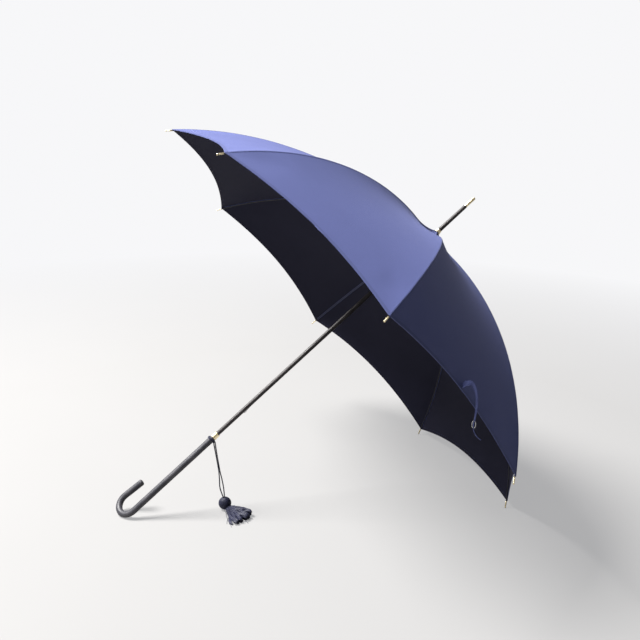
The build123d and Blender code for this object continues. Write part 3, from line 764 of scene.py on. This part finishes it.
# ---- ferrule ----
# (height over the rib hinges, radius) of each turned piece, in mm
FERRULE_PIECES = (
    ("ferrule_base_ring", BRASS, "brass", (
        (19.6, 6.1), (19.8, 6.34), (20.1, 6.4), (21.5, 6.4), (21.9, 6.22), (22.6, 5.58),
        (22.9, 5.42), (23.3, 5.4), (26.1, 5.4), (26.45, 5.3), (26.6, 5.05), (26.6, 4.3),
    )),
    ("ferrule_rod", SHAFT, "dark_metal", (
        (24.1, 3.9), (24.3, 4.26), (40, 4.16), (60, 4.02), (80, 3.87), (97.0, 3.75), (97.3, 3.7), (97.4, 3.4),
    )),
    ("ferrule_cap", BRASS, "brass", (
        (97.5, 3.2), (97.6, 3.44), (97.8, 3.5), (98.9, 3.5), (99.1, 3.41), (99.4, 3.41), (99.6, 3.5),
        (110, 3.5), (120.9, 3.5), (121.5, 3.4), (122.0, 3.14), (122.3, 2.74), (122.46, 2.2), (122.5, 1.6),
    )),
)
for node, metal, metal_slot, outline in FERRULE_PIECES:
    turned = lathe(ORIGIN, UP, [(height * MM, radius * MM) for height, radius in outline], 48)
    add_mesh(f"turned_{node}", *turned, "root", metal, metal_slot, None, (node,))


# ---- handle ----
HANDLE_TOP = -572 * MM
HANDLE_RADIUS = 6.35 * MM
BEND_HEIGHT = -774.6 * MM
HOOK_RADIUS = 22.6 * MM
HOOK_TURN = math.radians(186)
HOOK_ANGLE = math.radians(109)  # of the hook about the shaft
HOOK_TAIL = 42 * MM  # the straight end after the bend
END_ROUNDING = 2.6 * MM
STITCH_PITCH = 3.2 * MM
HOOK_SIDE = outward(HOOK_ANGLE)


def handle_point(distance):
    """A point of the handle's middle line, by distance from its top, and the direction
    that points into the hook."""
    grip = HANDLE_TOP - BEND_HEIGHT
    turn_length = HOOK_RADIUS * HOOK_TURN
    if distance <= grip:
        return ORIGIN + UP * (HANDLE_TOP - distance), HOOK_SIDE
    centre = ORIGIN + UP * BEND_HEIGHT + HOOK_SIDE * HOOK_RADIUS
    angle = min((distance - grip) / HOOK_RADIUS, HOOK_TURN)
    inward = HOOK_SIDE * math.cos(angle) + UP * math.sin(angle)
    point = centre - inward * HOOK_RADIUS
    if distance > grip + turn_length:
        ahead = HOOK_SIDE * math.sin(angle) - UP * math.cos(angle)
        point = point + ahead * (distance - grip - turn_length)
    return point, inward


HANDLE_LENGTH = HANDLE_TOP - BEND_HEIGHT + HOOK_RADIUS * HOOK_TURN + HOOK_TAIL
NORMAL_TO_HOOK = HOOK_SIDE.cross(UP)


def make_leather():
    """Leather drawn over the handle, with a butt seam along the inside of the hook."""
    sides = 72
    step = 1.1 * MM
    count = int(HANDLE_LENGTH / step)
    points = []
    for i in range(count + 1):
        distance = HANDLE_LENGTH * i / count
        left = HANDLE_LENGTH - distance
        centre, inward = handle_point(distance)
        size = HANDLE_RADIUS
        if left < END_ROUNDING:
            size -= END_ROUNDING - math.sqrt(max(0.0, END_ROUNDING**2 - (END_ROUNDING - left) ** 2))
        if distance < 1.5 * MM:
            size -= 0.5 * MM * (1 - distance / (1.5 * MM)) ** 2
        for k in range(sides):
            angle = 2 * math.pi * k / sides
            off_seam = min(angle, 2 * math.pi - angle)
            groove = 0.34 * MM * math.exp(-((off_seam / 0.07) ** 2))
            ridge = 0.10 * MM * math.exp(-(((off_seam - 0.28) / 0.10) ** 2))
            stitch = 0.16 * MM * math.exp(-(((off_seam - 0.26) / 0.07) ** 2))
            stitch *= max(0.0, math.sin(2 * math.pi * distance / STITCH_PITCH)) ** 2
            uneven = 0.10 * MM * noise.noise(Vector((distance * 55, math.cos(angle), math.sin(angle))))
            reach = size - groove + ridge - stitch + uneven - 0.12 * MM
            points.append(centre + (inward * math.cos(angle) + NORMAL_TO_HOOK * math.sin(angle)) * reach)
    faces = grid_faces(count + 1, sides, closed=True)
    faces.append(tuple(reversed(range(sides))))
    faces.append(tuple(range(count * sides, (count + 1) * sides)))
    add_mesh("leather_cover", points, faces, "root", LEATHER, "handle_leather", None, ("handle_leather",))
    # the waxed thread of the seam
    parts = []
    for k in range(int((HANDLE_LENGTH - 12 * MM) / STITCH_PITCH)):
        start = 4 * MM + k * STITCH_PITCH
        stitch_path = []
        for j in range(7):
            share = j / 6
            centre, inward = handle_point(start + STITCH_PITCH * 0.9 * share)
            lean = -0.24 + 0.48 * share
            lift = HANDLE_RADIUS - 0.28 * MM + 0.28 * MM * math.sin(math.pi * share)
            stitch_path.append(centre + (inward * math.cos(lean) + NORMAL_TO_HOOK * math.sin(lean)) * lift)
        parts.append(tube(stitch_path, 0.22 * MM, 6))
    add_mesh("leather_stitches", *join_parts(parts), "root", SILK, "tassel_thread")


make_leather()


# ---- cord ring and tassel ----
RING_CENTRE = Vector(JOINTS["cord_ring_turn"]["pos_m"])
RING_FOOT = Vector(JOINTS["tassel_swing"]["pos_m"])
RING_DOWN = (RING_FOOT - RING_CENTRE).normalized()
RING_SIDE = UP.cross(RING_DOWN)


def twisted(path, ply_radius, offset, pitch):
    """A cord of two plies laid round a path."""
    frames = carried_frames(path)
    length = 0.0
    lengths = [0.0]
    for a, b in zip(path, path[1:]):
        length += (b - a).length
        lengths.append(length)
    parts = []
    for ply in range(2):
        strand = []
        for point, (first, second), distance in zip(path, frames, lengths):
            angle = 2 * math.pi * (distance / pitch + ply / 2)
            strand.append(point + (first * math.cos(angle) + second * math.sin(angle)) * offset)
        parts.append(tube(strand, ply_radius, 8))
    return join_parts(parts)


def make_cord_ring():
    """Three turns of twisted cord round the handle, and the knot under them."""
    wraps = 3
    steps = 96
    path = []
    for i in range(wraps * steps + 1):
        turn = i / steps
        angle = 2 * math.pi * turn
        height = (turn / wraps - 0.5) * 4.0 * MM
        radial = RING_DOWN * math.cos(angle) + RING_SIDE * math.sin(angle)
        path.append(RING_CENTRE + radial * (HANDLE_RADIUS + 1.02 * MM) + UP * height)
    coil = twisted(path, 0.58 * MM, 0.46 * MM, 3.4 * MM)
    knot_centre = RING_CENTRE + RING_DOWN * (HANDLE_RADIUS + 1.9 * MM)
    knot = []
    for i in range(121):
        angle = 2 * math.pi * i / 120
        # a small overhand knot
        x = math.sin(angle) + 2 * math.sin(2 * angle)
        y = math.cos(angle) - 2 * math.cos(2 * angle)
        z = -math.sin(3 * angle)
        knot.append(knot_centre + (UP * x + RING_SIDE * y) * 0.62 * MM + RING_DOWN * (z * 0.6 * MM))
    add_mesh(
        "cord_wraps",
        *join_parts([coil, twisted(knot, 0.5 * MM, 0.4 * MM, 3.0 * MM)]),
        "cord_ring",
        SILK,
        "tassel_thread",
        None,
        ("cord_ring",),
    )


make_cord_ring()

BALL_LOW, BALL_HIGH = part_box("tassel_ball")
BALL_ASIDE = Vector((5.6, -2.2, 0.0)) * MM  # from the CAD ball, as the photo shows it
BALL_CENTRE = (BALL_LOW + BALL_HIGH) / 2 + BALL_ASIDE
BALL_RADIUS = (BALL_HIGH.z - BALL_LOW.z) / 2
CORD_TOP = RING_FOOT + RING_DOWN * 0.4 * MM
CORD_LINE = (BALL_CENTRE - CORD_TOP).normalized()
BALL_TOP = BALL_CENTRE - CORD_LINE * (BALL_RADIUS - 1.2 * MM)
SKIRT_DIRECTION = math.radians(-72)
SKIRT_ALONG = Vector((math.cos(SKIRT_DIRECTION), math.sin(SKIRT_DIRECTION), 0))
SKIRT_ACROSS = Vector((0, 0, 1)).cross(SKIRT_ALONG)
# share of the cords' drop, and distance of the two cords from its line in mm
CORD_BOWS = (
    (0.00, 1.6, -1.6),
    (0.12, 1.3, -1.2),
    (0.35, 1.0, -1.1),
    (0.52, 1.1, -1.1),
    (0.66, 2.6, -2.2),
    (0.80, 4.4, -2.6),
    (0.92, 2.8, -1.9),
    (1.00, 1.1, -1.1),
)
CORD_TWIST = (0.72 * MM, 0.58 * MM, 4.2 * MM)  # radius of a ply, its offset, and the pitch


def make_tassel_cords():
    """Two twisted cords that hang from the ring and bow apart above the ball."""
    drop = BALL_TOP - CORD_TOP
    _, sideways = square_to(drop)
    parts = []
    for cord in (1, 2):
        controls = [CORD_TOP + drop * bow[0] + sideways * (bow[cord] * MM) for bow in CORD_BOWS]
        parts.append(twisted(smooth_path(controls, 190), *CORD_TWIST))
    # the loop over the ring
    loop = oval(CORD_TOP, sideways * 1.6 * MM, drop.normalized() * -1.3 * MM, 40, math.pi)
    parts.append(twisted(loop, *CORD_TWIST))
    add_mesh("tassel_cords", *join_parts(parts), "tassel", SILK, "tassel_thread", None, ("tassel_cord",))


def make_tassel_ball():
    """The ball: a core covered with threads wound from pole to pole."""
    axis = -CORD_LINE
    turns = 44
    rows = 60
    profile = []
    for i in range(rows + 1):
        angle = math.pi * (0.03 + 0.94 * i / rows)
        profile.append((BALL_RADIUS * math.cos(angle), BALL_RADIUS * math.sin(angle)))

    def threads(distance, angle):
        share = distance / BALL_RADIUS
        swirl = 0.9 * share
        ridge = abs(math.sin(turns / 2 * (angle + swirl)))
        return (0.45 * ridge - 0.45) * MM * math.sqrt(max(0.0, 1 - share**2))

    profile.reverse()
    ball = lathe(BALL_CENTRE, axis, profile, turns * 6, threads)
    add_mesh("tassel_bead", *ball, "tassel", SILK, "tassel_thread", None, ("tassel_ball",))


# (turn from the skirt's direction in degrees, then length, thickness, the height it lies at
# and its sway in mm) of each lock of thread
LOCKS = (
    (34, 46, 4.6, 4.8, 3),
    (28, 49, 4.4, 10.8, -3),
    (22, 50, 4.4, 4.6, -3),
    (17, 51, 4.2, 10.6, 4),
    (12, 52, 4.2, 4.4, 3),
    (7, 53, 4.0, 10.2, -3),
    (2, 53, 4.0, 4.2, -3),
    (-3, 54, 3.8, 9.8, 4),
    (-8, 54, 3.8, 4.0, 3),
    (-13, 55, 3.6, 9.2, -3),
    (-18, 55, 3.4, 3.8, -3),
    (-23, 56, 3.2, 8.0, 4),
    (-28, 56, 3.0, 3.4, 3),
    (-33, 57, 2.8, 6.4, -3),
    (-38, 54, 2.4, 2.8, 4),
)
NECK = BALL_CENTRE + SKIRT_ALONG * (BALL_RADIUS - 1.0 * MM)
NECK.z = 7.0 * MM
LOCK_FAN = 0.62  # how much of its turn a lock takes
LOCK_TURN = 5  # and what is added to it, in degrees


def level_pair(heading):
    """Unit vectors ahead and to the left on the floor."""
    ahead = Vector((math.cos(heading), math.sin(heading), 0))
    return ahead, Vector((0, 0, 1)).cross(ahead)


def make_lock(turn, reach, thick, lying, sway, phase):
    """A lock that leaves the neck, settles on the floor and ends in a blunt tip."""
    ahead, aside = level_pair(SKIRT_DIRECTION + math.radians(turn * LOCK_FAN + LOCK_TURN))
    start = NECK + SKIRT_ACROSS * (turn * 0.13 * MM)
    high = NECK.z + (lying - 6.0) * 0.4 * MM
    controls = []
    for j in range(9):
        share = j / 8
        swing = sway * MM * math.sin(5.0 * share + phase) * share
        spot = start + ahead * (reach * MM * share) + aside * swing
        settle = min(1.0, share * 2.6)
        spot.z = high * (1 - settle) + (lying - 1.2 * share) * MM * settle
        controls.append(spot)

    def width(share):
        tip = max(0.0, share - 0.86) / 0.14
        return thick * MM * (0.6 + 0.4 * min(1.0, share * 2.4)) * math.sqrt(1 - 0.9 * tip * tip)

    def strands(share, angle):
        swirl = 16 * share + phase
        coarse = 0.13 * math.cos(5 * angle + swirl)
        fine = 0.05 * math.cos(11 * angle - swirl * 0.7)
        return thick * MM * (coarse + fine)

    return tube(smooth_path(controls, 56), width, 33, strands)


def make_tassel_skirt():
    """Locks of thread that leave a bound neck beside the ball and spread on the floor."""
    rng = random.Random(7)
    parts = []
    for lock in LOCKS:
        parts.append(make_lock(*lock, rng.uniform(0, 6.28)))
    # a few loose threads
    for i in range(16):
        ahead, aside = level_pair(SKIRT_DIRECTION + math.radians(rng.uniform(-34, 32)))
        length = rng.uniform(46, 66) * MM
        bend = rng.uniform(-9, 9) * MM
        controls = []
        for j in range(7):
            share = j / 6
            spot = NECK + ahead * (length * share) + aside * (bend * math.sin(3.2 * share + i))
            spot.z = (6.0 * (1 - share) ** 2 + 0.6 + rng.uniform(0, 0.8)) * MM
            controls.append(spot)
        parts.append(tube(smooth_path(controls, 26), 0.35 * MM, 6))
    # the binding round the neck
    for k in range(4):
        centre = NECK + SKIRT_ALONG * ((k - 0.5) * MM)
        ring = oval(centre, SKIRT_ACROSS * 4.6 * MM, Vector((0, 0, 4.4)) * MM, 40)
        parts.append(tube(ring, 0.6 * MM, 8))
    add_mesh("tassel_locks", *join_parts(parts), "tassel", SILK, "tassel_thread", None, ("tassel_skirt",))


make_tassel_cords()
make_tassel_ball()
make_tassel_skirt()


# ---- closing strap ----
STRAP_TOP = Vector(JOINTS["strap_swing"]["pos_m"])
# offsets from the strap's top in mm, towards +X, +Y and +Z, and the strap's width there
STRAP_LINE = (
    (4.2, 6.4, 3.4, 8.6),
    (5.6, 4.0, 6.2, 8.6),
    (8, 1, 9, 8.2),
    (12, -2.5, 10.2, 7.4),
    (16.5, -5.5, 7.5, 6.4),
    (20, -7.5, 0.5, 5.4),
    (22, -8.5, -10, 4.6),
    (23, -9, -23, 3.9),
    (22.7, -9, -36, 3.2),
    (21.8, -8.7, -46, 2.6),
    (21.4, -8.5, -51, 2.4),
)
STRAP_ROWS = 90
STRAP_COLUMNS = 11
# the band shows its outer face to the upper left at the top and to the left below
FACING_TOP = Vector((-0.58, -0.38, 0.72))
FACING_BELOW = Vector((-0.92, -0.38, 0.1))
TAIL_LINE = (
    (21.4, -8.5, -50),
    (20.0, -8.6, -59),
    (21.5, -9.0, -68),
    (26.5, -10.5, -77),
    (33.0, -12.5, -83),
)
RING_LEAN = Vector((0.88, -0.40, -0.22))
RING_RISE = Vector((0.1, 0.1, 0.98))


def strap_place(x, y, z):
    """A place by its offsets in mm from the strap's top."""
    return STRAP_TOP + Vector((x, y, z)) * MM


def make_strap_band():
    """A tapered band of doubled cloth that leaves the hem, loops over and hangs."""
    path = smooth_path([strap_place(x, y, z) for x, y, z, _ in STRAP_LINE], STRAP_ROWS)
    widths = smooth_path([Vector((width, 0, 0)) for _, _, _, width in STRAP_LINE], STRAP_ROWS)
    points, uvs = [], []
    length = 0.0
    for i, point in enumerate(path):
        ahead = (path[min(i + 1, len(path) - 1)] - path[max(i - 1, 0)]).normalized()
        share = i / (len(path) - 1)
        facing = FACING_TOP.lerp(FACING_BELOW, min(1.0, share * 2.0))
        wide = facing.cross(ahead).normalized()
        face = ahead.cross(wide)
        if i:
            length += (point - path[i - 1]).length
        for k in range(STRAP_COLUMNS):
            place = k / (STRAP_COLUMNS - 1) * 2 - 1
            half = widths[i].x / 2 * MM
            edge = 0.16 * MM * math.cos(place * math.pi * 2)
            cup = 0.5 * MM * place * place
            points.append(point + wide * (place * half) + face * (cup + edge))
            uvs.append((place * half, length))
    faces = grid_faces(len(path), STRAP_COLUMNS)
    band = add_mesh("strap_band", points, faces, "strap", COVER, "cover_fabric", uvs, ("closure_strap",))
    thicken(band, 1.1 * MM)
    return band


def make_strap_ring():
    """The wire ring that closes over a button on a real umbrella."""
    ring = oval(strap_place(20.8, -8.3, -57.0), RING_LEAN * 2.9 * MM, RING_RISE * 5.9 * MM, 64)
    wire = tube(ring, 0.5 * MM, 12)
    return add_mesh("strap_wire_ring", *wire, "strap", CHROME, "strap_metal", None, ("strap_ring",))


def make_strap_tail():
    """The rounded end of the strap that sticks out of the ring."""
    path = smooth_path([strap_place(*spot) for spot in TAIL_LINE], 60)
    return add_mesh("strap_tail", *tube(path, 0.9 * MM, 10), "strap", SEAM, "cover_fabric")


for strap_piece in (make_strap_band(), make_strap_ring(), make_strap_tail()):
    gather(strap_piece, LAST_TIER)


# ---- floor, backdrop, light and camera ----
BACKDROP = (0.93, 0.93, 0.945, 1.0)
FILL = 0.13
FLOOR_CENTRE = Vector((0.4, 0.0, 0.0))
FLOOR_RADIUS = 14.0
FLOOR_CLEAR = 0.9  # the floor shows as it is up to this distance from its centre
FLOOR_FADED = 2.2  # and has run into the backdrop at this one
FLOOR_LIFT = 0.42  # lightens the shadows to the eye only


def make_stage():
    """A pale floor and nothing else; the world behind it is as pale."""
    sides = 96
    rim = oval(FLOOR_CENTRE, Vector((FLOOR_RADIUS, 0, 0)), Vector((0, FLOOR_RADIUS, 0)), sides)
    mesh = bpy.data.meshes.new("floor")
    mesh.from_pydata([FLOOR_CENTRE, *rim], [], [(0, k + 1, k + 2) for k in range(sides)])
    nodes = Nodes("pale_floor")
    grain = nodes.noise(3.0, 3.0)
    nodes.shade(
        colour=nodes.mix(grain, opaque(0.285, 0.28, 0.275), opaque(0.30, 0.295, 0.29)),
        roughness=0.6,
        specular=0.2,
    )
    # far from the umbrella the floor runs into the backdrop without a horizon
    offset = nodes.add("ShaderNodeVectorMath", operation="DISTANCE")
    nodes.link(nodes.coordinates.outputs["Object"], offset.inputs[0])
    offset.inputs[1].default_value = FLOOR_CENTRE
    far = nodes.fit(offset.outputs["Value"], FLOOR_CLEAR, FLOOR_FADED, FLOOR_LIFT, 1)
    glow = nodes.add("ShaderNodeEmission")
    glow.inputs["Color"].default_value = BACKDROP
    rays = nodes.add("ShaderNodeLightPath")
    blend = nodes.add("ShaderNodeMixShader")
    nodes.put(blend.inputs[0], nodes.math("MULTIPLY", far, rays.outputs["Is Camera Ray"]))
    nodes.link(nodes.shader.outputs[0], blend.inputs[1])
    nodes.link(glow.outputs[0], blend.inputs[2])
    nodes.link(blend.outputs[0], nodes.output.inputs["Surface"])
    mesh.materials.append(nodes.material)
    floor = bpy.data.objects.new("floor", mesh)
    bpy.context.scene.collection.objects.link(floor)


def make_world():
    """Near white to the eye, a weak grey fill to matt surfaces and a pale wall to glossy ones."""
    world = bpy.data.worlds.new("studio")
    bpy.context.scene.world = world
    world.use_nodes = True
    tree = world.node_tree
    tree.nodes.clear()
    output = add_node(tree, "ShaderNodeOutputWorld")
    to_eye, to_gloss = (add_node(tree, "ShaderNodeMixShader") for _ in range(2))
    seen, fill, wall = (add_node(tree, "ShaderNodeBackground") for _ in range(3))
    rays = add_node(tree, "ShaderNodeLightPath")
    seen.inputs["Color"].default_value = BACKDROP
    fill.inputs["Color"].default_value = (0.90, 0.94, 1.0, 1)
    fill.inputs["Strength"].default_value = FILL
    # the mirrored room is bright behind and above the umbrella and dim behind the camera
    place = add_node(tree, "ShaderNodeTexCoord")
    toward = add_node(tree, "ShaderNodeVectorMath", operation="DOT_PRODUCT")
    toward.inputs[1].default_value = (-0.15, 0.85, 0.50)
    scale = add_node(tree, "ShaderNodeMapRange")
    for socket, number in zip(scale.inputs[1:5], (-0.5, 0.7, 0.20, 0.75)):
        socket.default_value = number
    wall.inputs["Color"].default_value = (1.0, 0.98, 0.95, 1)
    for source, target in (
        (place.outputs["Generated"], toward.inputs[0]),
        (toward.outputs["Value"], scale.inputs["Value"]),
        (scale.outputs[0], wall.inputs["Strength"]),
        (rays.outputs["Is Glossy Ray"], to_gloss.inputs["Fac"]),
        (fill.outputs[0], to_gloss.inputs[1]),
        (wall.outputs[0], to_gloss.inputs[2]),
        (rays.outputs["Is Camera Ray"], to_eye.inputs["Fac"]),
        (to_gloss.outputs[0], to_eye.inputs[1]),
        (seen.outputs[0], to_eye.inputs[2]),
        (to_eye.outputs[0], output.inputs["Surface"]),
    ):
        tree.links.new(source, target)


def add_light(name, direction, distance, size, power, colour):
    """A soft disk of light that faces the middle of the umbrella."""
    data = bpy.data.lights.new(name, "AREA")
    data.shape = "DISK"
    data.size = size
    data.energy = power
    data.color = colour
    light = bpy.data.objects.new(name, data)
    target = Vector((0.4, 0.0, 0.35))
    direction = Vector(direction).normalized()
    light.location = target + direction * distance
    light.rotation_mode = "QUATERNION"
    light.rotation_quaternion = direction.to_track_quat("Z", "Y")
    bpy.context.scene.collection.objects.link(light)


def make_camera():
    """At the photo's viewing angle: above the umbrella's top, a little to the handle's side."""
    place = ORIGIN + Vector((-0.8578, -1.6003, 0.3695))
    yaw, pitch, roll = (math.radians(a) for a in (21.497, 16.721, 1.487))
    forward = Vector((math.sin(yaw) * math.cos(pitch), math.cos(yaw) * math.cos(pitch), -math.sin(pitch)))
    level_right = Vector((math.cos(yaw), -math.sin(yaw), 0))
    level_up = level_right.cross(forward)
    right = level_right * math.cos(roll) + level_up * math.sin(roll)
    up = level_up * math.cos(roll) - level_right * math.sin(roll)
    data = bpy.data.cameras.new("camera")
    data.sensor_width = 36.0
    data.lens = 52.376
    camera = bpy.data.objects.new("camera", data)
    axes = Matrix((right, up, -forward)).transposed().to_4x4()
    camera.matrix_world = Matrix.Translation(place) @ axes
    bpy.context.scene.collection.objects.link(camera)
    bpy.context.scene.camera = camera


make_stage()
make_world()
add_light("key", (-0.50, 0.28, 0.82), 4.0, 1.8, 580.0, (1.0, 0.99, 0.97))
add_light("side", (-0.9, -0.35, 0.35), 3.2, 1.6, 8.0, (0.96, 0.98, 1.0))
make_camera()
bpy.context.scene.view_settings.view_transform = "Standard"
